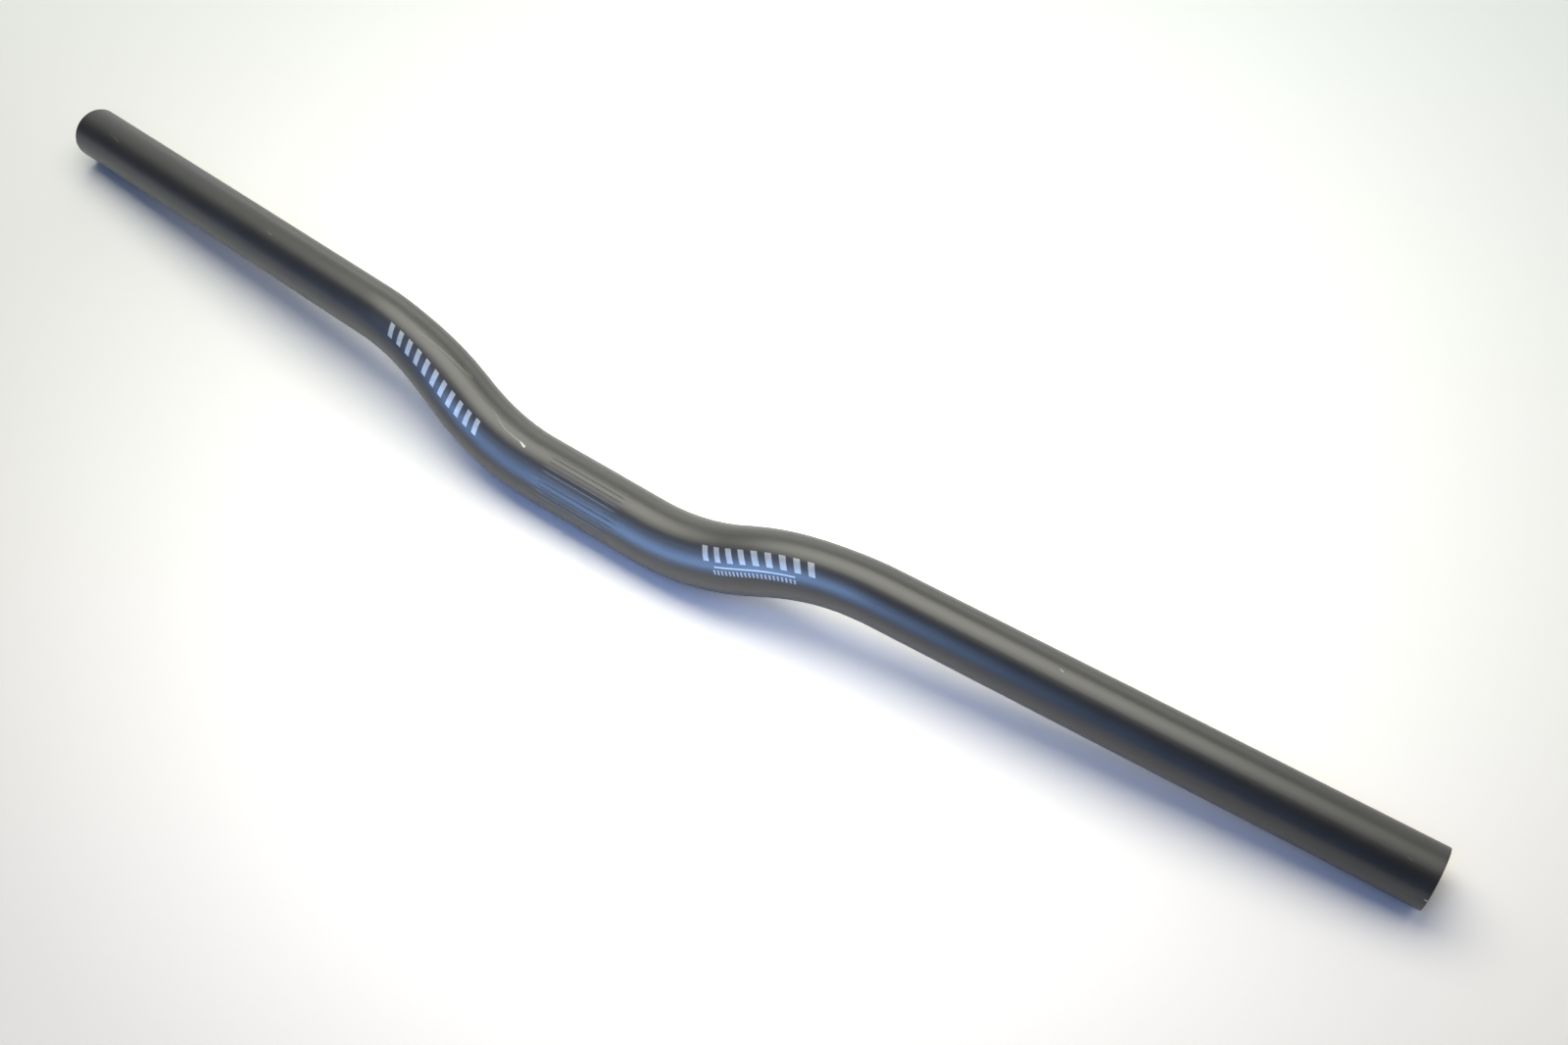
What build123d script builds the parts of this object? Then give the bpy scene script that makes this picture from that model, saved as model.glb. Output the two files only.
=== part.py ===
from build123d import *
import math
import os

# A riser handlebar for a bicycle. It is one aluminium tube: a straight clamp zone in the middle for the
# stem, a lower bend and an upper bend on each side, and two straight, thinner grip ends swept back.
# Millimetres and degrees. The bar lies on a floor as it comes to rest when it is put down by itself:
# +X runs along the clamp zone, +Y from the front of the bar towards its ends, +Z up.
# The origin is in the middle of the clamp zone, on the tube's axis.

# Driving dimensions: the tube
overall_width = 640.0  # between the middles of its two ends
clamp_diameter = 25.4
grip_diameter = 22.2
centre_wall = 2.4
grip_wall = 1.6
taper_length = 46.0

# Driving dimensions: the bends, seen with the bar in use, where the slopes rise straight up
lower_corner = 47.7
slope_angle = 24.0
rise = 22.5
back_sweep = 6.75
up_sweep = -0.8
lower_bend_radius = 100.0
upper_bend_radius = 110.0

# Driving dimensions: the grooves that stop the bar from turning in the stem, on the front only
groove_count = 15
groove_pitch = 2.0
groove_length = 35.0
groove_width = 0.5
groove_depth = 0.08

# Driving dimensions: the cut ends, and the nick in the right rim
rim_break = 0.3
nick_width = 0.7
nick_depth = 1.1
nick_angle = 65.0

# How closely the tapered stretch and the resting pose follow their formulas
taper_stations = 15
lean_halvings = 50

# How far the bore's cutter reaches past each mouth
cut_overrun = 5.0

# Sizes that follow
clamp_radius = clamp_diameter / 2
grip_radius = grip_diameter / 2
half_width = overall_width / 2
upper_corner = lower_corner + rise / math.tan(math.radians(slope_angle))
grip_run = half_width - upper_corner


def leaning(x, y, z, lean):
    """A place given with the bar in use, where -Y is the front, after the bar leans back by an angle."""
    cosine = math.cos(math.radians(lean))
    sine = math.sin(math.radians(lean))
    return Vector(x, y * cosine + z * sine, z * cosine - y * sine)


def corners(lean):
    """The corners of the right half of the tube's axis: middle, lower corner, upper corner, end."""
    end_back = grip_run * math.tan(math.radians(back_sweep))
    end_up = rise + grip_run * math.tan(math.radians(up_sweep))
    return [
        Vector(0, 0, 0),
        leaning(lower_corner, 0, 0, lean),
        leaning(upper_corner, 0, rise, lean),
        leaning(half_width, end_back, end_up, lean),
    ]


def rim_height(lean):
    """How high the end rim's lowest point is above the lowest line of the clamp zone."""
    inner, outer = corners(lean)[2:]
    along = (outer - inner).normalized()
    rim_centre = outer - along * rim_break
    drop = grip_radius * math.sqrt(1 - along.Z ** 2)
    return rim_centre.Z - drop + clamp_radius


def resting_lean():
    """The lean at which the clamp zone and both end rims touch the floor together."""
    upright = 0.0
    flat = 90.0
    for _ in range(lean_halvings):
        middle = (upright + flat) / 2
        if rim_height(middle) > 0:
            upright = middle
        else:
            flat = middle
    return (upright + flat) / 2


class Bend:
    """An arc of the tube's axis that rounds one corner."""

    def __init__(self, before, corner, after, radius):
        self.entry = (corner - before).normalized()
        self.exit = (after - corner).normalized()
        self.radius = radius
        self.turn = self.entry.get_angle(self.exit)
        self.setback = radius * math.tan(math.radians(self.turn) / 2)
        self.length = radius * math.radians(self.turn)
        self.start = corner - self.entry * self.setback
        self.finish = corner + self.exit * self.setback
        self.normal = self.entry.cross(self.exit).normalized()
        self.centre = self.start + self.normal.cross(self.entry) * radius
        self.axis = Axis(self.centre, self.normal)

    def place(self, distance):
        """The point and the direction at a distance along the arc."""
        swept = math.degrees(distance / self.radius)
        spindle = Axis((0, 0, 0), self.normal)
        spoke = (self.start - self.centre).rotate(spindle, swept)
        return self.centre + spoke, self.entry.rotate(spindle, swept)


def disc(point, direction, radius):
    """A round section of the tube, square to its axis."""
    sideways = Vector(0, 0, 1).cross(direction)
    return Plane(origin=point, x_dir=sideways, z_dir=direction) * Circle(radius)


def straight(start, finish, radius):
    """A straight stretch of constant radius."""
    run = finish - start
    return extrude(disc(start, run.normalized(), radius), amount=run.length)


def bent(bend, radius):
    """A bent stretch of constant radius."""
    return revolve(disc(bend.start, bend.entry, radius), axis=bend.axis, revolution_arc=bend.turn)


lean = resting_lean()
middle_point, lower_point, upper_point, end_point = corners(lean)
lower_bend = Bend(middle_point, lower_point, upper_point, lower_bend_radius)
upper_bend = Bend(lower_point, upper_point, end_point, upper_bend_radius)

# The taper starts where the lower bend ends. It runs along the slope and round the upper bend.
slope_run = (upper_bend.start - lower_bend.finish).length
bends_run = slope_run + upper_bend.length
tapered_run = max(bends_run, taper_length)
grip_start = upper_bend.finish + upper_bend.exit * (tapered_run - bends_run)


def slope_place(distance):
    """The point and the direction on the axis at a distance past the lower bend."""
    if distance <= slope_run:
        return lower_bend.finish + lower_bend.exit * distance, lower_bend.exit
    if distance <= bends_run:
        return upper_bend.place(distance - slope_run)
    return upper_bend.finish + upper_bend.exit * (distance - bends_run), upper_bend.exit


def eased(start_value, end_value, distance):
    """A size that changes smoothly from one value to another over the taper's length."""
    share = min(distance / taper_length, 1)
    return start_value + (end_value - start_value) * share ** 2 * (3 - 2 * share)


def tapered(thick_radius, thin_radius):
    """The stretch from the lower bend to the grip end, along which the tube gets thinner."""
    sections = []
    for index in range(taper_stations):
        distance = tapered_run * index / (taper_stations - 1)
        point, direction = slope_place(distance)
        sections.append(disc(point, direction, eased(thick_radius, thin_radius, distance)))
    return loft(sections)


def whole_length(thick_radius, thin_radius, overrun):
    """The tube's outside or its bore, from end to end, as one solid."""
    mouth = end_point + upper_bend.exit * overrun
    side = bent(lower_bend, thick_radius)
    side += tapered(thick_radius, thin_radius)
    side += straight(grip_start, mouth, thin_radius)
    clamp_end = lower_bend.start
    clamp_zone = straight(Vector(-clamp_end.X, 0, 0), clamp_end, thick_radius)
    return clamp_zone + side + mirror(side, about=Plane.YZ)


def tube():
    """The bent tube with its butted wall, thicker in the middle, and its deburred ends."""
    outside = whole_length(clamp_radius, grip_radius, 0)
    bore = whole_length(clamp_radius - centre_wall, grip_radius - grip_wall, cut_overrun)
    walls = outside - bore
    rims = walls.edges().filter_by(GeomType.CIRCLE)
    right_rims = rims.sort_by(Axis.X)[-2:]
    left_rims = rims.sort_by(Axis.X)[:2]
    return chamfer(right_rims + left_rims, rim_break)


def grooves():
    """Fine grooves along the front of the clamp zone, as a fan of round cutters."""
    cutter_radius = (groove_width ** 2 / 4 + groove_depth ** 2) / (2 * groove_depth)
    cutter_offset = clamp_radius - groove_depth + cutter_radius
    pitch_angle = math.degrees(groove_pitch / clamp_radius)
    cutters = Part()
    for index in range(groove_count):
        turned = (index - (groove_count - 1) / 2) * pitch_angle
        y = -cutter_offset * math.cos(math.radians(turned))
        z = cutter_offset * math.sin(math.radians(turned))
        start = leaning(-groove_length / 2, y, z, lean)
        finish = leaning(groove_length / 2, y, z, lean)
        cutters += straight(start, finish, cutter_radius)
    return cutters


def rim_nick():
    """A small notch knocked into the right rim, on the front and below the middle, wide at the rim."""
    along = upper_bend.exit
    upward = (Vector(0, 0, 1) - along * along.Z).normalized()
    outward = upward.rotate(Axis((0, 0, 0), along), nick_angle)
    rim_plane = Plane(origin=end_point, x_dir=along, z_dir=outward)
    notch = Polyline(
        (-nick_depth, 0),
        (0, nick_width / 2),
        (nick_depth, nick_width / 2),
        (nick_depth, -nick_width / 2),
        (0, -nick_width / 2),
        close=True,
    )
    return extrude(rim_plane * make_face(notch), amount=clamp_diameter)


handlebar = tube() - grooves() - rim_nick()
handlebar.label = "handlebar"

os.makedirs("parts", exist_ok=True)
export_step(handlebar, "parts/handlebar.step")

print("lean from the pose in use", round(lean, 2))
print("straight clamp zone", round(2 * lower_bend.start.X, 2))
print("upper bend turns by", round(upper_bend.turn, 2))
print("straight grip length", round((end_point - grip_start).length, 2))
print("grip direction", [round(value, 5) for value in upper_bend.exit])
print("grip start", [round(value, 3) for value in grip_start])
print("right end", [round(value, 3) for value in end_point])
print("volume", round(handlebar.volume), "solids", len(handlebar.solids()))
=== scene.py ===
# %% [markdown]
# Riser handlebar
#
# This is the bare handlebar of a mountain bike: one aluminium tube, bent four times, drawn thinner towards
# its ends and anodised in satin black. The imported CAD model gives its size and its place. This lesson
# gives it a fine skin, its finish, its marks and its wear, a studio and a camera.
#
# Lengths are metres, and named angles are degrees until they are used. The bar lies on a floor: +X runs
# along the stem's clamp zone, +Y from the bar's front to its swept-back ends, and +Z up.

# %% Load the frame
import math
import bmesh
import bpy
from mathutils import Matrix, Vector


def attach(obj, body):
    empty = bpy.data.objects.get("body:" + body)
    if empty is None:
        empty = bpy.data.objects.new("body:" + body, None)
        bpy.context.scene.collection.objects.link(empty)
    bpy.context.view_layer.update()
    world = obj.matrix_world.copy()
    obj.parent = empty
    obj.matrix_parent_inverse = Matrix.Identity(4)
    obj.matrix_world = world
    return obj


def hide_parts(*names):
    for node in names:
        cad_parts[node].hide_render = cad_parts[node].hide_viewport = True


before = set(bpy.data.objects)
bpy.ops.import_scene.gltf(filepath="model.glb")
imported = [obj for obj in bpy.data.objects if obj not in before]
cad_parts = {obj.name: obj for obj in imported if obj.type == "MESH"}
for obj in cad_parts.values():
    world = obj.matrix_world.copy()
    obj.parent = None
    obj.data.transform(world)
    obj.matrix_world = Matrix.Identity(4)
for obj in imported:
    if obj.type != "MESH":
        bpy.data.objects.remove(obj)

scene = bpy.context.scene
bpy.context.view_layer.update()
MM = 0.001

# %% [markdown]
# The camera
#
# The photo was taken from above, beside the right end, with a normal lens and a tilted camera. The
# camera's place and its three directions were found by fitting the known tube to its outline, so they
# are written as vectors. An aim point with angles would need a third number for the tilt anyway.

# %% Camera
IMAGE_WIDTH_PX = 1600
FOCAL_PX = 1866.9
SENSOR_WIDTH_MM = 36.0
CLIP_START = 0.01
CAMERA_PLACE = Vector((0.32992, -0.21792, 0.56543))
CAMERA_RIGHT = Vector((0.80307, 0.58429, -0.11698))
CAMERA_UP = Vector((-0.44953, 0.72290, 0.52473))

camera_data = bpy.data.cameras.new("camera")
camera_data.sensor_width = SENSOR_WIDTH_MM
camera_data.lens = FOCAL_PX / IMAGE_WIDTH_PX * SENSOR_WIDTH_MM
camera_data.clip_start = CLIP_START
camera = bpy.data.objects.new("camera", camera_data)
scene.collection.objects.link(camera)
turn = Matrix((CAMERA_RIGHT, CAMERA_UP, CAMERA_RIGHT.cross(CAMERA_UP))).transposed()
camera.matrix_world = Matrix.Translation(CAMERA_PLACE) @ turn.to_4x4()
scene.camera = camera
print("lens", round(camera_data.lens, 2), "mm")

# %% [markdown]
# The studio
#
# The bar lies on white paper. A satin tube shows its lamps as long bands, so each lamp is there for one
# band. One large soft box hangs low over the bar, a little behind, and gives the broad band along the top.
# A weaker one on the right carries that band on to the right end. White paper that sweeps up behind gives
# the light upper edge. A dim fill and a bluish window in front on the left give the dark valley and the
# blue band under it. Area lamps are the plain way to make such light. Each is set by its place, its size
# and the brightness of its face, so its reflection in the tube can be reasoned about like a real one's.

# %% Lamps
TABLE_HEIGHT = -12.7 * MM
MIDDLE_OF_BAR = (0.0, 0.0, 0.0)


def soft_box(name, place, aim, width, depth, brightness):
    """A flat soft light that faces its aim. Its brightness is that of its face, for red, green and blue."""
    lamp = bpy.data.lights.new(name, "AREA")
    lamp.shape = "RECTANGLE"
    lamp.size = width
    lamp.size_y = depth
    strongest = max(brightness)
    lamp.color = [value / strongest for value in brightness]
    lamp.energy = strongest * math.pi * width * depth
    holder = bpy.data.objects.new(name, lamp)
    holder.location = place
    holder.rotation_euler = (Vector(place) - Vector(aim)).to_track_quat("Z", "Y").to_euler()
    holder.visible_camera = False
    scene.collection.objects.link(holder)
    print(name, "power", round(lamp.energy, 2))


soft_box(
    "top_box", place=(-0.2, 0.285, 0.6), aim=(-0.2, 0.285, 0.0), width=1.0, depth=0.6,
    brightness=(2.54, 2.49, 2.23),
)
soft_box(
    "side_box", place=(0.75, 0.28, 0.6), aim=(0.75, 0.28, 0.0), width=0.6, depth=0.5,
    brightness=(0.5, 0.48, 0.46),
)
soft_box(
    "paper_sweep", place=(-0.45, 1.0, 0.2), aim=(-0.45, 0.0, 0.2), width=1.3, depth=0.4,
    brightness=(0.84, 0.82, 0.76),
)
soft_box(
    "front_fill", place=(-0.26, -0.45, 0.5), aim=(-0.1, 0.0, 0.0), width=0.66, depth=0.35,
    brightness=(0.85, 1.08, 1.6),
)
soft_box(
    "window", place=(-0.356, -1.06, 0.43), aim=MIDDLE_OF_BAR, width=0.55, depth=0.62,
    brightness=(2.4, 4.1, 7.7),
)

# %% [markdown]
# Shorter node code
#
# Every tree below is made in the script, so small helpers keep the code short. They make a tree with named
# inputs, add a node with its values, link, and do what most trees need: sums on numbers and vectors, a
# change of range, a mix of two colours, and masks of the rays that see a surface.


# %% Adding and linking nodes
def put(socket, value):
    """Links a socket to the input, or sets the input to a plain value."""
    tree = socket.id_data
    if isinstance(value, bpy.types.NodeSocket):
        tree.links.new(value, socket)
    else:
        socket.default_value = value


def add(tree, kind, inputs=None, **settings):
    """Adds a node with its settings, and its inputs by name or number."""
    node = tree.nodes.new(kind)
    for name, value in settings.items():
        setattr(node, name, value)
    for key, value in (inputs or {}).items():
        put(node.inputs[key], value)
    return node


# %% Sums, ranges and colours
MIX_COLOUR_A = 6
MIX_COLOUR_B = 7
MIX_COLOUR_RESULT = 2


def calc(tree, operation, *values, clamp=False):
    """Arithmetic on numbers."""
    node = add(tree, "ShaderNodeMath", dict(enumerate(values)), operation=operation, use_clamp=clamp)
    return node.outputs[0]


def vector_calc(tree, operation, *values, output=0):
    """Arithmetic on vectors."""
    node = add(tree, "ShaderNodeVectorMath", dict(enumerate(values)), operation=operation)
    return node.outputs[output]


def scaled(tree, vector, factor):
    """A vector or a colour times a number."""
    node = add(tree, "ShaderNodeVectorMath", {0: vector, "Scale": factor}, operation="SCALE")
    return node.outputs[0]


def ramp(tree, value, low, high, start=0.0, end=1.0, smooth=False):
    """Goes from start to end while a value goes from low to high, evenly or smoothly."""
    node = add(tree, "ShaderNodeMapRange", {"Value": value, "From Min": low, "From Max": high})
    node.interpolation_type = "SMOOTHSTEP" if smooth else "LINEAR"
    put(node.inputs["To Min"], start)
    put(node.inputs["To Max"], end)
    return node.outputs["Result"]


def mixed_colour(tree, share, first, second):
    """A colour that goes from the first to the second as the share goes from 0 to 1."""
    node = add(tree, "ShaderNodeMix", {"Factor": share}, data_type="RGBA")
    put(node.inputs[MIX_COLOUR_A], first)
    put(node.inputs[MIX_COLOUR_B], second)
    return node.outputs[MIX_COLOUR_RESULT]


# %% Rays and new trees
def seen_rays(tree):
    """Two masks: rays from the camera, and rays that a glossy or clear surface sends on."""
    ray = add(tree, "ShaderNodeLightPath").outputs
    return ray["Is Camera Ray"], calc(tree, "MAXIMUM", ray["Is Glossy Ray"], ray["Is Transmission Ray"])


def new_tree(kind, name, inputs, outputs):
    """An empty tree with named inputs and outputs, and the sockets inside it."""
    tree = bpy.data.node_groups.new(name, kind)
    for label, socket_kind, value in inputs:
        socket = tree.interface.new_socket(label, in_out="INPUT", socket_type="NodeSocket" + socket_kind)
        if value is not None:
            socket.default_value = value
    for label, socket_kind in outputs:
        tree.interface.new_socket(label, in_out="OUTPUT", socket_type="NodeSocket" + socket_kind)
    return tree, tree.nodes.new("NodeGroupInput").outputs, tree.nodes.new("NodeGroupOutput").inputs


# %% [markdown]
# The room around
#
# The room gives a faint even light, stronger from behind, where the white paper is. The camera sees plain
# white instead, beyond the table. Metal shows that white too, but only low over the table's edge, because
# higher up the tube mirrors the room.

# %% Room
GLOW_BEHIND = (0.54, 0.55, 0.51, 1.0)
GLOW_IN_FRONT = (0.06, 0.06, 0.07, 1.0)
WHITE = (1.0, 1.0, 1.0, 1.0)
BEHIND_FROM = -0.3
BEHIND_TO = 0.6
HORIZON_TOP = 0.06

world = bpy.data.worlds.new("studio")
scene.world = world
world.use_nodes = True
tree = world.node_tree
direction = add(tree, "ShaderNodeSeparateXYZ", {0: add(tree, "ShaderNodeTexCoord").outputs["Generated"]})
behind = ramp(tree, direction.outputs["Y"], BEHIND_FROM, BEHIND_TO, smooth=True)
glow = mixed_colour(tree, behind, GLOW_IN_FRONT, GLOW_BEHIND)
low = calc(tree, "LESS_THAN", direction.outputs["Z"], HORIZON_TOP)
camera_ray, mirrored_ray = seen_rays(tree)
sees_white = calc(tree, "MAXIMUM", camera_ray, calc(tree, "MULTIPLY", mirrored_ray, low))
put(tree.nodes["Background"].inputs["Color"], mixed_colour(tree, sees_white, glow, WHITE))
scene.view_settings.view_transform = "Standard"
print("room glows", GLOW_IN_FRONT[:3], "in front and", GLOW_BEHIND[:3], "behind")

# %% [markdown]
# The table
#
# White paper, wide enough for every view. The camera sees it brighter than it lights the bar, as in a
# photo that is exposed for a dark object, and the metal mirrors part of that. A painted pool of light
# makes it darker away from the middle, as paper under one near soft box is, and a painted tint makes it a
# little warmer towards the front and cooler behind, to even out the colours of the lamps on it. Far from
# the bar, where the lamps no longer reach, it glows pale by itself and turns white towards the horizon, so
# that the floor is plain in every view. All of this reads Object coordinates, so it stays put when the
# camera moves.

# %% Table
TABLE_SIZE = 8.0

bpy.ops.mesh.primitive_plane_add(size=TABLE_SIZE)
table = bpy.context.object
table.name = "table"
for corner in table.data.vertices:
    corner.co.z = TABLE_HEIGHT
print("table at", TABLE_HEIGHT)

# %% Paper near the bar
PAPER = (0.9, 0.9, 0.9, 1.0)
MIRRORED_SHARE = 0.6
# Painted pool of light: the paper's seen tone from its rim to its middle, with the centre and reach of that
# falloff.
PAINTED_LIGHT_MIDDLE = 1.94
PAINTED_LIGHT_RIM = 0.83
FALLOFF_CENTRE = Vector((0.076, -0.011, TABLE_HEIGHT))
FALLOFF_RADIUS = 0.5
# Painted tint that evens out the lamps' colours on the paper: warmer in front, cooler behind.
WARM_PAINTED_TINT = (1.079, 1.0, 0.903, 1.0)
COOL_PAINTED_TINT = (0.942, 1.0, 0.996, 1.0)
PAINTED_TINT_WAY = (-0.368, 0.930, 0.0)
WARM_FROM = -0.3
COOL_FROM = 0.45

paper = bpy.data.materials.new("white_paper")
paper.use_nodes = True
tree = paper.node_tree
here = add(tree, "ShaderNodeTexCoord").outputs["Object"]
off_centre = vector_calc(tree, "SUBTRACT", here, FALLOFF_CENTRE)
gradient_place = vector_calc(tree, "DIVIDE", off_centre, [FALLOFF_RADIUS] * 3)
# Painted pool of light: the paper is brightest at the falloff centre and darker towards the rim.
gradient = add(tree, "ShaderNodeTexGradient", {"Vector": gradient_place}, gradient_type="QUADRATIC_SPHERE")
depth = vector_calc(tree, "DOT_PRODUCT", here, PAINTED_TINT_WAY, output="Value")
# Painted tint against the lamps' colours, from warm in front to cool behind.
painted_tint = mixed_colour(tree, ramp(tree, depth, WARM_FROM, COOL_FROM), WARM_PAINTED_TINT, COOL_PAINTED_TINT)
seen = scaled(tree, painted_tint, ramp(tree, gradient.outputs["Fac"], 0.0, 1.0, PAINTED_LIGHT_RIM, PAINTED_LIGHT_MIDDLE))
camera_ray, mirrored_ray = seen_rays(tree)
is_seen = calc(tree, "MAXIMUM", camera_ray, mirrored_ray)
share = ramp(tree, mirrored_ray, 0.0, 1.0, 1.0, MIRRORED_SHARE)
tone = mixed_colour(tree, is_seen, PAPER, scaled(tree, seen, share))
tree.nodes.remove(tree.nodes["Principled BSDF"])
matt = add(tree, "ShaderNodeBsdfDiffuse", {"Color": tone})
table.data.materials.append(paper)
print("paper tone", PAINTED_LIGHT_RIM, "to", PAINTED_LIGHT_MIDDLE)

# %% Paper far from the bar
LIT_CENTRE = (0.0, 0.1, TABLE_HEIGHT)
LIT_REACH = (0.42, 0.33, 1.0)
GLOWING_FROM = 1.0
GLOWING_ALL = 1.4
PALE = (0.82, 0.82, 0.82, 1.0)
PALE_TO = 0.7
WHITE_FROM = 3.0

distance = vector_calc(tree, "LENGTH", off_centre, output="Value")
far_tone = mixed_colour(tree, ramp(tree, distance, PALE_TO, WHITE_FROM), PALE, WHITE)
glowing = add(tree, "ShaderNodeEmission", {"Color": far_tone, "Strength": share})
off_lit = vector_calc(tree, "DIVIDE", vector_calc(tree, "SUBTRACT", here, LIT_CENTRE), LIT_REACH)
lit_reaches = vector_calc(tree, "LENGTH", off_lit, output="Value")
far = ramp(tree, lit_reaches, GLOWING_FROM, GLOWING_ALL, smooth=True)
surface = add(tree, "ShaderNodeMixShader", {0: calc(tree, "MULTIPLY", far, is_seen)})
put(surface.inputs[1], matt.outputs[0])
put(surface.inputs[2], glowing.outputs[0])
put(tree.nodes["Material Output"].inputs["Surface"], surface.outputs[0])
print("paper has", len(tree.nodes), "nodes")

# %% [markdown]
# The blue shadow
#
# The shadow in the photo is blue, because the light of the sky fills it from all round. The two front
# lamps would cast shadows of their own behind the bar, so they skip the table. Instead, one bluish lamp
# near the camera lights only the table: what it can't reach, the camera can't see either. Light linking
# does both. A collection lists the table, and its link state says whether a lamp takes it or leaves it.


# %% Lamps for the paper alone, and lamps kept off it
def link_to_table(lamp_names, state):
    """Makes some lamps light only the table (INCLUDE) or everything but the table (EXCLUDE)."""
    receivers = bpy.data.collections.new("table_" + state.lower())
    receivers.objects.link(table)
    receivers.collection_objects[0].light_linking.link_state = state
    for lamp_name in lamp_names:
        bpy.data.objects[lamp_name].light_linking.receiver_collection = receivers


soft_box(
    "sky_on_paper", place=(0.2, -0.32, 0.75), aim=MIDDLE_OF_BAR, width=0.5, depth=0.5,
    brightness=(0.42, 0.76, 1.82),
)
link_to_table(["front_fill", "window"], "EXCLUDE")
link_to_table(["sky_on_paper"], "INCLUDE")

# %% [markdown]
# The tube's axis
#
# A real bar starts as a straight tube and is bent on round formers. So its axis is five straight lines
# with four rounded corners. The curve below has only its corners, and each corner carries the radius of
# its former. A Fillet Curve node rounds them, which gives the same arcs as the bender does.

# %% Axis
END = Vector((320.0, 32.598, -1.666)) * MM
UPPER_CORNER = Vector((98.236, 14.281, 17.387)) * MM
LOWER_CORNER = Vector((47.7, 0.0, 0.0)) * MM
LOWER_BEND_RADIUS = 100 * MM
UPPER_BEND_RADIUS = 110 * MM


def mirrored(point):
    """The same place on the left half of the bar."""
    return Vector((-point.x, point.y, point.z))


axis_corners = [
    (mirrored(END), 0),
    (mirrored(UPPER_CORNER), UPPER_BEND_RADIUS),
    (mirrored(LOWER_CORNER), LOWER_BEND_RADIUS),
    (LOWER_CORNER, LOWER_BEND_RADIUS),
    (UPPER_CORNER, UPPER_BEND_RADIUS),
    (END, 0),
]
axis_data = bpy.data.curves.new("bar_axis", "CURVE")
axis_data.dimensions = "3D"
spline = axis_data.splines.new("POLY")
spline.points.add(len(axis_corners) - 1)
for knot, (place, bend_radius) in zip(spline.points, axis_corners):
    knot.co = (*place, 1)
    knot.radius = bend_radius
axis = bpy.data.objects.new("bar_axis", axis_data)
scene.collection.objects.link(axis)


def arc_and_setback(before, corner, after, radius):
    """The length of a rounded corner, and how much of each straight line it takes."""
    bend = (corner - before).angle(after - corner)
    return radius * bend, radius * math.tan(bend / 2)


lower_arc, lower_setback = arc_and_setback(Vector(), LOWER_CORNER, UPPER_CORNER, LOWER_BEND_RADIUS)
upper_arc, upper_setback = arc_and_setback(LOWER_CORNER, UPPER_CORNER, END, UPPER_BEND_RADIUS)
LOWER_BEND_START = LOWER_CORNER.x - lower_setback
LOWER_BEND_END = LOWER_BEND_START + lower_arc
slope_straight = (UPPER_CORNER - LOWER_CORNER).length - lower_setback - upper_setback
UPPER_BEND_END = LOWER_BEND_END + slope_straight + upper_arc
HALF_LENGTH = UPPER_BEND_END + (END - UPPER_CORNER).length - upper_setback
print("half the tube's length, along its axis:", round(HALF_LENGTH / MM, 2), "mm")

# %% [markdown]
# Wrapping flat work round the bar
#
# Everything on this bar follows its axis: the skin, the printed marks, the scratches. So each is first
# laid out flat, like a label before it is stuck on: x is the distance along the axis from the middle, y
# the way round, measured on the thick middle, and z the height over the surface. One Geometry Nodes tree
# then wraps it round the bar. It samples the axis at x, turns by y and goes out by the tube's radius
# there, which shrinks smoothly along the taper. A wall share of 1 puts a point on the bore instead.
# The curve's normals are kept level, so that the same y always faces the same way.

# %% Tube sizes
MIDDLE_RADIUS = 12.7 * MM
GRIP_RADIUS = 11.1 * MM
MIDDLE_WALL = 2.4 * MM
GRIP_WALL = 1.6 * MM
TAPER_LENGTH = 46 * MM
BEND_STEPS = 60
print("the grips are thinner by", round(2 * (MIDDLE_RADIUS - GRIP_RADIUS) / MM, 1), "mm")


# %% Parts of the wrap tree
def axis_place(tree, axis_object, along):
    """The point, the direction and the level sideways direction at a distance along the rounded axis."""
    corners = add(tree, "GeometryNodeObjectInfo", {"Object": axis_object}).outputs["Geometry"]
    rounded = add(tree, "GeometryNodeFilletCurve", {"Count": BEND_STEPS}, mode="POLY")
    put(rounded.inputs[0], corners)
    put(rounded.inputs["Radius"], add(tree, "GeometryNodeInputRadius").outputs[0])
    level = add(tree, "GeometryNodeSetCurveNormal", mode="Z_UP")
    put(level.inputs[0], rounded.outputs[0])
    length = add(tree, "GeometryNodeCurveLength", {0: level.outputs[0]}).outputs[0]
    sample = add(tree, "GeometryNodeSampleCurve", mode="LENGTH", use_all_curves=False)
    put(sample.inputs["Curves"], level.outputs[0])
    put(sample.inputs["Length"], calc(tree, "MULTIPLY_ADD", length, 0.5, along))
    return [sample.outputs[name] for name in ("Position", "Tangent", "Normal")]


def close_tree(tree, geometry, finish, result):
    """Ends a tree: instances become plain geometry, which takes its finish and goes out."""
    whole = add(tree, "GeometryNodeRealizeInstances", {0: geometry})
    finished = add(tree, "GeometryNodeSetMaterial", {0: whole.outputs[0], "Material": finish})
    put(result["Geometry"], finished.outputs[0])


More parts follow.
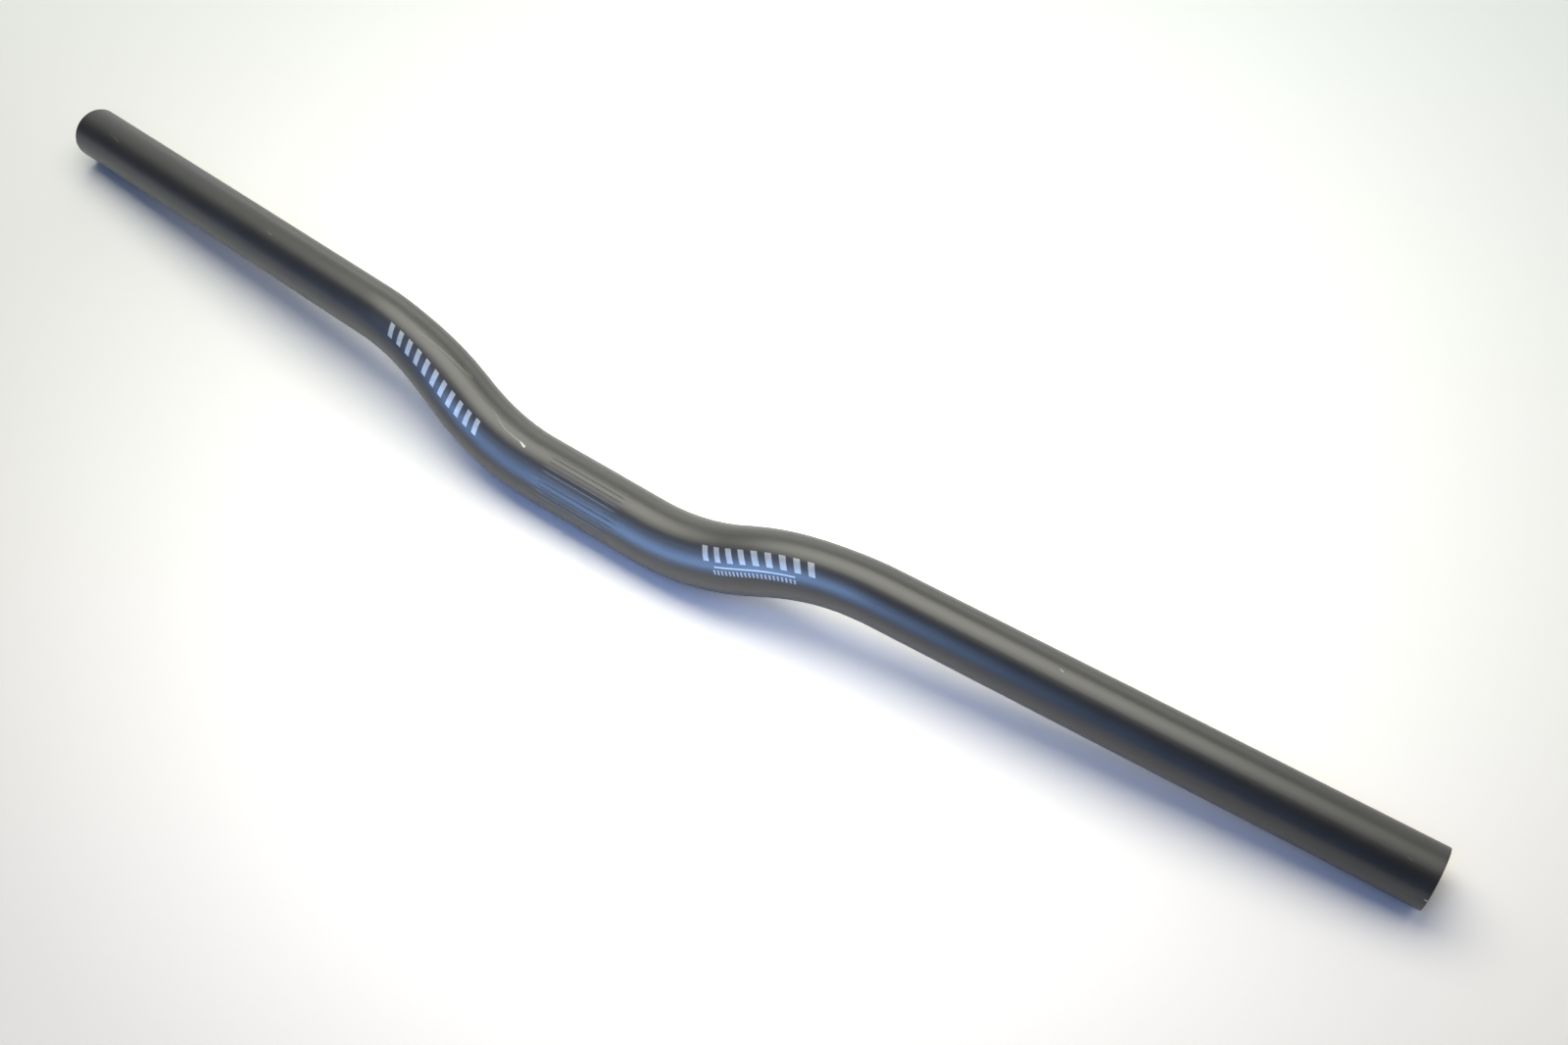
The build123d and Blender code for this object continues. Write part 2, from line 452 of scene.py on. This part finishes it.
# %% Wrap tree
def make_wrap_tree():
    """Geometry Nodes that wrap flat work round the bent, tapered tube."""
    tree, given, result = new_tree(
        "GeometryNodeTree",
        "Wrap round the bar",
        [
            ("Geometry", "Geometry", None),
            ("Axis", "Object", None),
            ("Middle radius", "Float", MIDDLE_RADIUS),
            ("Grip radius", "Float", GRIP_RADIUS),
            ("Middle wall", "Float", MIDDLE_WALL),
            ("Grip wall", "Float", GRIP_WALL),
            ("Taper start", "Float", LOWER_BEND_END),
            ("Taper length", "Float", TAPER_LENGTH),
            ("Finish", "Material", None),
        ],
        [("Geometry", "Geometry")],
    )
    flat = add(tree, "ShaderNodeSeparateXYZ", {0: add(tree, "GeometryNodeInputPosition").outputs[0]})
    along, round_way, lift = flat.outputs
    centre, tangent, sideways = axis_place(tree, given["Axis"], along)
    distance = calc(tree, "ABSOLUTE", along)
    taper_end = calc(tree, "ADD", given["Taper start"], given["Taper length"])

    def along_taper(middle, grip):
        """A size that changes smoothly from the middle of the bar to the grip."""
        return ramp(tree, distance, given["Taper start"], taper_end, middle, grip, smooth=True)

    radius = along_taper(given["Middle radius"], given["Grip radius"])
    wall = along_taper(given["Middle wall"], given["Grip wall"])
    share = add(tree, "GeometryNodeInputNamedAttribute", {"Name": "wall_share"}, data_type="FLOAT")
    sunk = calc(tree, "MULTIPLY", wall, share.outputs["Attribute"])
    reach = calc(tree, "ADD", calc(tree, "SUBTRACT", radius, sunk), lift)
    angle = calc(tree, "DIVIDE", round_way, given["Middle radius"])
    upward = vector_calc(tree, "CROSS_PRODUCT", sideways, tangent)
    up_part = scaled(tree, upward, calc(tree, "MULTIPLY", calc(tree, "COSINE", angle), reach))
    side_part = scaled(tree, sideways, calc(tree, "MULTIPLY", calc(tree, "SINE", angle), reach))
    spoke = vector_calc(tree, "ADD", up_part, side_part)
    place = vector_calc(tree, "ADD", centre, spoke)
    moved = add(tree, "GeometryNodeSetPosition", {"Geometry": given["Geometry"], "Position": place})
    close_tree(tree, moved.outputs[0], given["Finish"], result)
    return tree


wrap_tree = make_wrap_tree()
print("wrap tree has", len(wrap_tree.nodes), "nodes")

# %% Turning trees into plain pieces
DOUBLES_WITHIN = 1e-7


def add_tree(piece, tree, values):
    """Puts a Geometry Nodes tree on an object and sets its named inputs."""
    modifier = piece.modifiers.new(tree.name, "NODES")
    modifier.node_group = tree
    for item in tree.interface.items_tree:
        if item.in_out == "INPUT" and item.name in values:
            modifier[item.identifier] = values[item.name]


def settle(piece):
    """Replaces an object's mesh by what its modifiers make of it, and removes them."""
    depsgraph = bpy.context.evaluated_depsgraph_get()
    mesh = bpy.data.meshes.new_from_object(piece.evaluated_get(depsgraph), depsgraph=depsgraph)
    piece.modifiers.clear()
    piece.data = mesh
    mesh.name = piece.name
    print(piece.name, "has", len(mesh.vertices), "points and", len(mesh.polygons), "faces")


def face_outwards(mesh):
    """Merges doubles and turns every face of a closed mesh outwards."""
    work = bmesh.new()
    work.from_mesh(mesh)
    bmesh.ops.remove_doubles(work, verts=work.verts, dist=DOUBLES_WITHIN)
    bmesh.ops.recalc_face_normals(work, faces=work.faces)
    work.to_mesh(mesh)
    work.free()


# %% [markdown]
# Grain, streaks and scratches as shader groups
#
# Anodising is a thin, hard, dyed layer over aluminium. It looks like satin because the tube was bead
# blasted first, so it has a very fine even grain and no brush lines, only faint streaks along the tube
# from drawing it. Where it is scratched through, bright metal shows. The three groups below put out only
# masks and heights. The shaders that use them stay in the materials.

# %% Blasted grain
GRAIN_SIZE = 0.25 * MM
GRAIN_DETAIL = 2.0
PATCH_SIZE = 14 * MM
PATCH_DETAIL = 3.0


def make_grain_group():
    """Fine even grain of a bead-blasted surface, with broad patches that differ a little."""
    tree, given, result = new_tree(
        "ShaderNodeTree",
        "Blasted grain",
        [("Grain size", "Float", GRAIN_SIZE), ("Patch size", "Float", PATCH_SIZE)],
        [("Height", "Float"), ("Patches", "Float")],
    )
    here = add(tree, "ShaderNodeTexCoord").outputs["Object"]
    grain = add(tree, "ShaderNodeTexNoise", {"Vector": here, "Detail": GRAIN_DETAIL})
    put(grain.inputs["Scale"], calc(tree, "DIVIDE", 1.0, given["Grain size"]))
    patches = add(tree, "ShaderNodeTexNoise", {"Vector": here, "Detail": PATCH_DETAIL})
    put(patches.inputs["Scale"], calc(tree, "DIVIDE", 1.0, given["Patch size"]))
    put(result["Height"], grain.outputs[0])
    put(result["Patches"], patches.outputs[0])
    return tree


grain_group = make_grain_group()
print("grain of", round(GRAIN_SIZE / MM, 2), "mm in patches of", round(PATCH_SIZE / MM), "mm")

# %% Draw streaks
STREAK_LENGTH = 60 * MM
STREAK_WIDTH = 0.5 * MM
STREAK_DETAIL = 4.0


def skin_value(tree, name):
    """One of the skin's own attributes, as a number."""
    return add(tree, "ShaderNodeAttribute", attribute_name=name).outputs["Fac"]


def flat_place(tree, along, round_way):
    """A place on the skin, laid out flat."""
    return add(tree, "ShaderNodeCombineXYZ", {0: along, 1: round_way}).outputs[0]


def make_streak_group():
    """Faint streaks along the tube. They follow the bends, because they read the skin's own attributes."""
    tree, given, result = new_tree(
        "ShaderNodeTree",
        "Draw streaks",
        [("Streak length", "Float", STREAK_LENGTH), ("Streak width", "Float", STREAK_WIDTH)],
        [("Streaks", "Float")],
    )
    lengths = calc(tree, "DIVIDE", skin_value(tree, "along"), given["Streak length"])
    widths = calc(tree, "DIVIDE", skin_value(tree, "round"), given["Streak width"])
    stretched = flat_place(tree, lengths, widths)
    noise = add(tree, "ShaderNodeTexNoise", {"Vector": stretched, "Scale": 1.0, "Detail": STREAK_DETAIL})
    put(result["Streaks"], noise.outputs[0])
    return tree


streak_group = make_streak_group()
print("streaks of", round(STREAK_LENGTH / MM), "mm by", round(STREAK_WIDTH / MM, 2), "mm")

# %% Scratch
SCRATCH_INPUTS = (
    "Start along",
    "Start round",
    "End along",
    "End round",
    "Start width",
    "End width",
    "Raggedness",
)
SCRATCH_SOFTNESS = 0.06 * MM
WOBBLE_SIZE = 0.4 * MM
WOBBLE_DETAIL = 2.0
MEAN_NOISE = 0.5


def make_scratch_group():
    """One scratch from a start to an end on the skin, with a width for each end."""
    inputs = [(name, "Float", 0.0) for name in SCRATCH_INPUTS]
    tree, given, result = new_tree("ShaderNodeTree", "Scratch", inputs, [("Mask", "Float")])
    place = flat_place(tree, skin_value(tree, "along"), skin_value(tree, "round"))
    start = flat_place(tree, given["Start along"], given["Start round"])
    end = flat_place(tree, given["End along"], given["End round"])
    run = vector_calc(tree, "SUBTRACT", end, start)
    reach = vector_calc(tree, "SUBTRACT", place, start)
    dot = vector_calc(tree, "DOT_PRODUCT", reach, run, output="Value")
    square = vector_calc(tree, "DOT_PRODUCT", run, run, output="Value")
    share = calc(tree, "DIVIDE", dot, square, clamp=True)
    gap = vector_calc(tree, "DISTANCE", reach, scaled(tree, run, share), output="Value")
    wobble = add(tree, "ShaderNodeTexNoise", {"Vector": place, "Detail": WOBBLE_DETAIL})
    wobble.inputs["Scale"].default_value = 1 / WOBBLE_SIZE
    uneven = calc(tree, "SUBTRACT", wobble.outputs[0], MEAN_NOISE)
    ragged = calc(tree, "MULTIPLY", uneven, given["Raggedness"])
    width = ramp(tree, share, 0.0, 1.0, given["Start width"], given["End width"])
    half_width = calc(tree, "MULTIPLY", width, 0.5)
    edge = calc(tree, "SUBTRACT", calc(tree, "ADD", gap, ragged), half_width)
    outside = ramp(tree, edge, -SCRATCH_SOFTNESS, SCRATCH_SOFTNESS, smooth=True)
    put(result["Mask"], calc(tree, "SUBTRACT", 1.0, outside))
    return tree


scratch_group = make_scratch_group()
print("shader groups", [group.name for group in (grain_group, streak_group, scratch_group)])

# %% [markdown]
# The anodised finish
#
# The real finish is aluminium under a hard, clear oxide whose pores are full of black dye. Some light is
# mirrored by the metal through the dye, and some by the face of the oxide, which mirrors more and more
# towards the tube's edges. So the base is a very dark metal, and the oxide is a coat of its own high
# refractive index. The base's roughness changes a little with the grain's patches and the draw streaks.
# Scratches and the nick in the rim mix in the colour of bare aluminium. The scratches are the ones that
# the real bar has.

# %% Scratch list
ROUND_PER_DEGREE = MIDDLE_RADIUS * math.pi / 180

# Name, then start and end as millimetres along and degrees round, then the two widths and the
# raggedness in millimetres, and how much of the bare metal shows.
SCRATCHES = [
    ("silver nick", (-33.0, 1.2), (-30.2, 4.8), 0.4, 1.05, 0.9, 0.42),
    ("nick trail end", (-42.5, -1.0), (-33.0, 1.2), 0.3, 0.6, 0.3, 0.1),
    ("nick trail bend", (-48.0, -7.0), (-42.5, -1.0), 0.25, 0.35, 0.3, 0.1),
    ("nick trail start", (-53.5, -16.0), (-48.0, -7.0), 0.15, 0.25, 0.3, 0.07),
    ("left end scratch", (-303.5, 8.0), (-299.5, 9.5), 0.2, 0.34, 0.2, 0.16),
    ("left end scratch tail", (-299.5, 9.5), (-296.0, 15.0), 0.34, 0.42, 0.2, 0.22),
    ("left grip line", (-211.0, -16.0), (-198.0, -16.0), 0.10, 0.20, 0.2, 0.10),
    ("left scuff", (-189.5, 3.0), (-187.0, 5.0), 0.6, 1.2, 0.9, 0.08),
    ("slope line start", (-98.0, -5.0), (-87.5, -14.0), 0.12, 0.20, 0.2, 0.10),
    ("slope line", (-87.5, -14.0), (-72.0, -24.0), 0.20, 0.34, 0.2, 0.16),
    ("slope line beside it", (-76.5, -29.5), (-71.0, -27.0), 0.12, 0.30, 0.2, 0.16),
    ("right grip fleck", (191.9, -6.0), (193.1, -4.0), 0.25, 0.5, 0.4, 0.20),
    ("right end fleck", (313.8, 12.5), (315.2, 14.5), 0.14, 0.3, 0.2, 0.12),
    ("right end speck", (308.0, 55.0), (308.6, 56.0), 0.12, 0.25, 0.2, 0.08),
]
print(len(SCRATCHES), "scratches")


# %% Scratched places
def worn_mask(tree):
    """How far the black is scratched through, over the whole skin."""
    total = None
    for name, start, end, start_width, end_width, raggedness, strength in SCRATCHES:
        node = add(tree, "ShaderNodeGroup", node_tree=scratch_group, label=name)
        values = (
            start[0] * MM,
            start[1] * ROUND_PER_DEGREE,
            end[0] * MM,
            end[1] * ROUND_PER_DEGREE,
            start_width * MM,
            end_width * MM,
            raggedness * MM,
        )
        for input_name, value in zip(SCRATCH_INPUTS, values):
            node.inputs[input_name].default_value = value
        mask = calc(tree, "MULTIPLY", node.outputs["Mask"], strength)
        total = mask if total is None else calc(tree, "MAXIMUM", total, mask)
    return total


# %% Anodised aluminium
DEEP_BLACK = (0.054, 0.054, 0.055, 1.0)
SOFT_BLACK = (0.066, 0.066, 0.067, 1.0)
BARE_METAL = (0.80, 0.79, 0.76, 1.0)
OXIDE_IOR = 1.6
OXIDE_ROUGHNESS = 0.38
SMOOTH_PATCH = 0.34
ROUGH_PATCH = 0.44
STREAK_ROUGHNESS = 0.06
STREAK_HEIGHT = 0.3
WORN_HEIGHT = -2.0
RELIEF = 0.02 * MM
RELIEF_STRENGTH = 0.25


def make_anodised():
    """Satin black anodised aluminium, scratched through to bare metal where the mask says so."""
    material = bpy.data.materials.new("anodised_aluminium")
    material.use_nodes = True
    tree = material.node_tree
    shader = tree.nodes["Principled BSDF"]
    grain = add(tree, "ShaderNodeGroup", node_tree=grain_group)
    streaks = add(tree, "ShaderNodeGroup", node_tree=streak_group).outputs["Streaks"]
    patches = grain.outputs["Patches"]
    bare = calc(tree, "MAXIMUM", worn_mask(tree), skin_value(tree, "bare"))

    black = mixed_colour(tree, patches, DEEP_BLACK, SOFT_BLACK)
    put(shader.inputs["Base Color"], mixed_colour(tree, bare, black, BARE_METAL))
    shader.inputs["Metallic"].default_value = 1.0
    shader.inputs["Coat Weight"].default_value = 1.0
    shader.inputs["Coat IOR"].default_value = OXIDE_IOR
    shader.inputs["Coat Roughness"].default_value = OXIDE_ROUGHNESS

    satin = ramp(tree, patches, 0.0, 1.0, SMOOTH_PATCH, ROUGH_PATCH)
    streaked = calc(tree, "MULTIPLY_ADD", streaks, STREAK_ROUGHNESS, satin)
    put(shader.inputs["Roughness"], calc(tree, "SUBTRACT", streaked, STREAK_ROUGHNESS * MEAN_NOISE))

    height = calc(tree, "MULTIPLY_ADD", streaks, STREAK_HEIGHT, grain.outputs["Height"])
    worn = calc(tree, "MULTIPLY_ADD", bare, WORN_HEIGHT, height)
    bump = add(tree, "ShaderNodeBump", {"Strength": RELIEF_STRENGTH, "Distance": RELIEF, "Height": worn})
    put(shader.inputs["Normal"], bump.outputs[0])
    return material


anodised = make_anodised()
print(anodised.name, "has", len(anodised.node_tree.nodes), "nodes")

# %% [markdown]
# The skin of the tube
#
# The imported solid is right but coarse, and light on a satin tube shows every flat. So a finer skin of
# the same size replaces it. It is one closed sheet of rings, which follow one another along the outside,
# round one rim, back through the bore and round the other rim. A ring is a row of the sheet, and its
# points are the columns. They are close together where the grooves and the nick are, so that both are
# real shapes. The grooves are rolled in by a fan of round wheels, so each one has the section of a
# shallow arc.

# %% Groove shape
GROOVE_COUNT = 15
GROOVE_PITCH = 2.0 * MM
GROOVE_HALF_LENGTH = 17.5 * MM
GROOVE_HALF_WIDTH = 0.25 * MM
GROOVE_DEPTH = 0.1 * MM
GROOVE_RUN_OUT = 0.35 * MM
LEAN_BACK = 39.4
FRONT_ANGLE = 90 - LEAN_BACK
GROOVE_WHEEL = (GROOVE_HALF_WIDTH ** 2 + GROOVE_DEPTH ** 2) / (2 * GROOVE_DEPTH)
groove_centres = [
    FRONT_ANGLE * ROUND_PER_DEGREE + (index - (GROOVE_COUNT - 1) / 2) * GROOVE_PITCH
    for index in range(GROOVE_COUNT)
]


def groove_lift(along, round_way):
    """How far the skin is pressed in at a place on the outside, as a negative height."""
    off = min(abs(round_way - centre) for centre in groove_centres)
    if off >= GROOVE_HALF_WIDTH:
        return 0.0
    section = math.sqrt(GROOVE_WHEEL ** 2 - off ** 2) - (GROOVE_WHEEL - GROOVE_DEPTH)
    run_out = min(max((GROOVE_HALF_LENGTH - abs(along)) / GROOVE_RUN_OUT, 0), 1)
    return -max(section, 0) * run_out


groove_angles = [centre / ROUND_PER_DEGREE for centre in groove_centres]
print("grooves from", round(groove_angles[0], 1), "degrees to", round(groove_angles[-1], 1))

# %% Columns round the tube
RIM_NICK_ANGLE = 65
RIM_NICK_DEPTH = 1.1 * MM
RIM_NICK_WIDTH = 0.7 * MM
GROOVE_COLUMNS = (-1.3, -1, -0.75, -0.4, 0, 0.4, 0.75, 1, 1.3)
NICK_COLUMNS = (-1.3, -1, -0.6, -0.25, 0, 0.25, 0.6, 1, 1.3)
PLAIN_COLUMN_ANGLE = 4.0
TOO_CLOSE = 0.02 * MM
nick_round = RIM_NICK_ANGLE * ROUND_PER_DEGREE
nick_half_round = RIM_NICK_WIDTH / 2 * MIDDLE_RADIUS / GRIP_RADIUS
half_way_round = math.pi * MIDDLE_RADIUS
all_round = 2 * half_way_round


def spread(start, end, step):
    """Places from start to just before end, about a step apart."""
    count = max(round((end - start) / step), 1)
    return [start + (end - start) * index / count for index in range(count)]


columns = set()
for centre in groove_centres:
    columns.update(centre + share * GROOVE_HALF_WIDTH for share in GROOVE_COLUMNS)
    columns.add(centre + GROOVE_PITCH / 2)
columns.update(nick_round + share * nick_half_round for share in NICK_COLUMNS)
plain_from = groove_centres[-1] + GROOVE_PITCH
plain_to = groove_centres[0] - GROOVE_PITCH / 2 + all_round
columns.update(spread(plain_from, plain_to, PLAIN_COLUMN_ANGLE * ROUND_PER_DEGREE))
columns = sorted((place + half_way_round) % all_round - half_way_round for place in columns)
columns = [
    place
    for index, place in enumerate(columns)
    if index == 0 or place - columns[index - 1] > TOO_CLOSE
]
print(len(columns), "columns")

# %% Rows along the tube
RIM_ROUNDING = 0.3 * MM
RIM_ANGLES = (0, 30, 60, 90)
MIDDLE_ROWS = [0.0, 6 * MM, 12 * MM]
ROW_BEFORE_BEND = 22 * MM
BEND_ROW_STEP = 1.5 * MM
GRIP_ROW_STEP = 9.0 * MM
NICK_ROW_STEP = 0.45 * MM
NICK_REACH = 3.0 * MM

right_rows = MIDDLE_ROWS + [GROOVE_HALF_LENGTH - GROOVE_RUN_OUT, GROOVE_HALF_LENGTH, ROW_BEFORE_BEND]
right_rows += spread(LOWER_BEND_START, UPPER_BEND_END, BEND_ROW_STEP)
right_rows += spread(UPPER_BEND_END, HALF_LENGTH - NICK_REACH, GRIP_ROW_STEP)
right_rows += spread(HALF_LENGTH - NICK_REACH, HALF_LENGTH - RIM_ROUNDING, NICK_ROW_STEP)
body_rows = [-place for place in reversed(right_rows[1:])] + right_rows

# Each row has its place along the axis, its height over the surface and its share of the wall.
quarter = [math.radians(angle) for angle in RIM_ANGLES]
outer_rim = [
    (HALF_LENGTH - RIM_ROUNDING * (1 - math.sin(angle)), -RIM_ROUNDING * (1 - math.cos(angle)), 0.0)
    for angle in quarter
]
inner_rim = [(along, -lift, 1.0) for along, lift, share in reversed(outer_rim)]
right_rim = outer_rim + inner_rim
left_rim = [(-along, lift, share) for along, lift, share in reversed(right_rim)]
rows = [(along, 0.0, 0.0) for along in body_rows]
rows += right_rim
rows += [(along, 0.0, 1.0) for along in reversed(body_rows)]
rows += left_rim
print(len(rows), "rows")

# %% Points of the skin
BARE_WIDTH_SHARE = 0.8
BARE_DEPTH_SHARE = 1.1


def nicked(along, round_way):
    """The place along the axis after the nick in the right rim has pushed it back."""
    share = 1 - abs(round_way - nick_round) / nick_half_round
    start = HALF_LENGTH - NICK_REACH
    if share <= 0 or along <= start:
        return along
    return start + (along - start) * (1 - share * RIM_NICK_DEPTH / NICK_REACH)


def knocked_bare(along, round_way):
    """1 on the rim inside the nick, where the black is knocked off, and 0 elsewhere."""
    inside = abs(round_way - nick_round) < nick_half_round * BARE_WIDTH_SHARE
    return float(inside and along > HALF_LENGTH - RIM_ROUNDING * BARE_DEPTH_SHARE)


def sheet_points():
    """The points of the flat sheet, with each one's share of the wall and whether it is knocked bare."""
    points = []
    shares = []
    bareness = []
    for along, lift, share in rows:
        for round_way in columns:
            pressed = groove_lift(along, round_way) if share == 0 else 0
            points.append((nicked(along, round_way), round_way, lift + pressed))
            shares.append(share)
            bareness.append(knocked_bare(along, round_way))
    return points, shares, bareness


# %% Faces of the skin
def sheet_faces():
    """The faces of the sheet, closed both ways, with the place along and round of each of their corners."""
    faces = []
    alongs = []
    rounds = []
    wide = len(columns)
    for row in range(len(rows)):
        next_row = (row + 1) % len(rows)
        for column in range(wide):
            next_column = (column + 1) % wide
            faces.append((
                row * wide + column,
                row * wide + next_column,
                next_row * wide + next_column,
                next_row * wide + column,
            ))
            near = columns[column]
            far = columns[next_column] + (all_round if next_column == 0 else 0)
            alongs += [rows[row][0], rows[row][0], rows[next_row][0], rows[next_row][0]]
            rounds += [near, far, far, near]
    return faces, alongs, rounds


# %% Skin
points, shares, bareness = sheet_points()
faces, alongs, rounds = sheet_faces()
print("flat sheet of", len(points), "points and", len(faces), "faces")
sheet = bpy.data.meshes.new("handlebar_skin")
sheet.from_pydata(points, [], faces)
for name, domain, values in (
    ("wall_share", "POINT", shares),
    ("bare", "POINT", bareness),
    ("along", "CORNER", alongs),
    ("round", "CORNER", rounds),
):
    sheet.attributes.new(name, "FLOAT", domain).data.foreach_set("value", values)
skin = bpy.data.objects.new("handlebar_skin", sheet)
scene.collection.objects.link(skin)
add_tree(skin, wrap_tree, {"Axis": axis, "Finish": anodised})
settle(skin)
face_outwards(skin.data)
for polygon in skin.data.polygons:
    polygon.use_smooth = True
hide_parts("handlebar")
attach(skin, "root")

# %% [markdown]
# The printed marks
#
# The real bar has silver printing on both slopes. Here each place gets a plain, generic mark of the same
# size instead: rows of slanted bars, a fine line and a row of ticks. One tree makes a row of bars from
# named sizes, and the wrap tree puts it on the tube. Each bar is a thin film with some divisions, so
# that it bends with the surface.

# %% Row of bars
FILM_HEIGHT = 0.03 * MM
FILM_DEPTH = 0.06 * MM


def make_row_tree():
    """Geometry Nodes that lay out a row of slanted bars of film, flat."""
    lengths = ("Start", "Pitch", "Centre", "Bar width", "Bar height", "Slant", "Film")
    inputs = [("Geometry", "Geometry", None), ("Count", "Int", None)]
    inputs += [(name, "Float", None) for name in lengths]
    inputs += [(name, "Int", None) for name in ("Divisions along", "Divisions round")]
    inputs += [("Finish", "Material", None)]
    tree, given, result = new_tree("GeometryNodeTree", "Row of bars", inputs, [("Geometry", "Geometry")])
    size = add(tree, "ShaderNodeCombineXYZ", {0: given["Bar width"], 1: given["Bar height"]})
    put(size.inputs[2], given["Film"])
    bar = add(tree, "GeometryNodeMeshCube", {"Size": size.outputs[0], "Vertices Z": 2})
    put(bar.inputs["Vertices X"], given["Divisions along"])
    put(bar.inputs["Vertices Y"], given["Divisions round"])
    flat = add(tree, "ShaderNodeSeparateXYZ", {0: add(tree, "GeometryNodeInputPosition").outputs[0]})
    lean = calc(tree, "MULTIPLY", flat.outputs[1], given["Slant"])
    shift = add(tree, "ShaderNodeCombineXYZ", {0: lean}).outputs[0]
    slanted = add(tree, "GeometryNodeSetPosition", {"Geometry": bar.outputs[0], "Offset": shift})
    spots = add(tree, "GeometryNodeMeshLine", {"Count": given["Count"]}, mode="OFFSET")
    put(spots.inputs["Start Location"], flat_place(tree, given["Start"], given["Centre"]))
    put(spots.inputs["Offset"], add(tree, "ShaderNodeCombineXYZ", {0: given["Pitch"]}).outputs[0])
    placed = add(tree, "GeometryNodeInstanceOnPoints", {"Points": spots.outputs[0]})
    put(placed.inputs["Instance"], slanted.outputs[0])
    close_tree(tree, placed.outputs[0], given["Finish"], result)
    return tree


row_tree = make_row_tree()
print("row tree has", len(row_tree.nodes), "nodes")

# %% Silver print
FLAKE_SIZE = 0.2 * MM
CLOUD_SIZE = 2.5 * MM
DULL_SILVER = (0.36, 0.37, 0.37, 1.0)
BRIGHT_SILVER = (0.62, 0.63, 0.62, 1.0)
SILVER_METALLIC = 0.6
SMOOTH_FLAKE = 0.38
ROUGH_FLAKE = 0.5
FLAKE_RELIEF_STRENGTH = 0.2


def make_silver_print():
    """Silver screen print: small bright flakes in a clear binder, a little uneven."""
    material = bpy.data.materials.new("silver_print")
    material.use_nodes = True
    tree = material.node_tree
    shader = tree.nodes["Principled BSDF"]
    grain = add(tree, "ShaderNodeGroup", node_tree=grain_group)
    grain.inputs["Grain size"].default_value = FLAKE_SIZE
    grain.inputs["Patch size"].default_value = CLOUD_SIZE
    silver = mixed_colour(tree, grain.outputs["Patches"], DULL_SILVER, BRIGHT_SILVER)
    put(shader.inputs["Base Color"], silver)
    shader.inputs["Metallic"].default_value = SILVER_METALLIC
    rough = ramp(tree, grain.outputs["Height"], 0.0, 1.0, SMOOTH_FLAKE, ROUGH_FLAKE)
    put(shader.inputs["Roughness"], rough)
    bump = add(tree, "ShaderNodeBump", {"Strength": FLAKE_RELIEF_STRENGTH, "Distance": RELIEF})
    put(bump.inputs["Height"], grain.outputs["Height"])
    put(shader.inputs["Normal"], bump.outputs[0])
    return material


silver_print = make_silver_print()
print(silver_print.name, "has", len(silver_print.node_tree.nodes), "nodes")

# %% Marks
MARKS = [
    ("left_slope_bars", {
        "Count": 11, "Start": -106.0, "Pitch": 5.3, "Angle": 29.5, "Bar width": 2.4, "Bar height": 5.7,
        "Slant": 0.35, "Divisions along": 3, "Divisions round": 12,
    }),
    ("right_slope_bars", {
        "Count": 9, "Start": 60.5, "Pitch": 5.2, "Angle": 26.5, "Bar width": 2.4, "Bar height": 5.4,
        "Slant": 0.35, "Divisions along": 3, "Divisions round": 12,
    }),
    ("right_slope_line", {
        "Count": 1, "Start": 81.0, "Pitch": 1.0, "Angle": 46.5, "Bar width": 32.0, "Bar height": 0.55,
        "Slant": 0.0, "Divisions along": 40, "Divisions round": 3,
    }),
    ("right_slope_ticks", {
        "Count": 21, "Start": 65.0, "Pitch": 1.6, "Angle": 55.5, "Bar width": 0.7, "Bar height": 1.7,
        "Slant": 0.2, "Divisions along": 2, "Divisions round": 5,
    }),
]
COUNTED = ("Count", "Slant", "Divisions along", "Divisions round")


def make_mark(name, sizes):
    """One row of bars of silver film on the tube."""
    values = {key: value if key in COUNTED else value * MM for key, value in sizes.items()}
    values["Centre"] = sizes["Angle"] * ROUND_PER_DEGREE
    values["Film"] = FILM_HEIGHT + FILM_DEPTH
    values["Finish"] = silver_print
    mark = bpy.data.objects.new(name, bpy.data.meshes.new(name))
    scene.collection.objects.link(mark)
    add_tree(mark, row_tree, values)
    settle(mark)
    lift = (FILM_HEIGHT - FILM_DEPTH) / 2
    for point in mark.data.vertices:
        point.co.z += lift
    add_tree(mark, wrap_tree, {"Axis": axis, "Finish": silver_print})
    settle(mark)
    face_outwards(mark.data)
    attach(mark, "root")


for mark_name, mark_sizes in MARKS:
    make_mark(mark_name, mark_sizes)


# %% [markdown]
# Leaving the file in order
#
# The axis has done its work and goes, because every object left in the scene counts as a piece.

# %% Finish
bpy.data.objects.remove(axis)
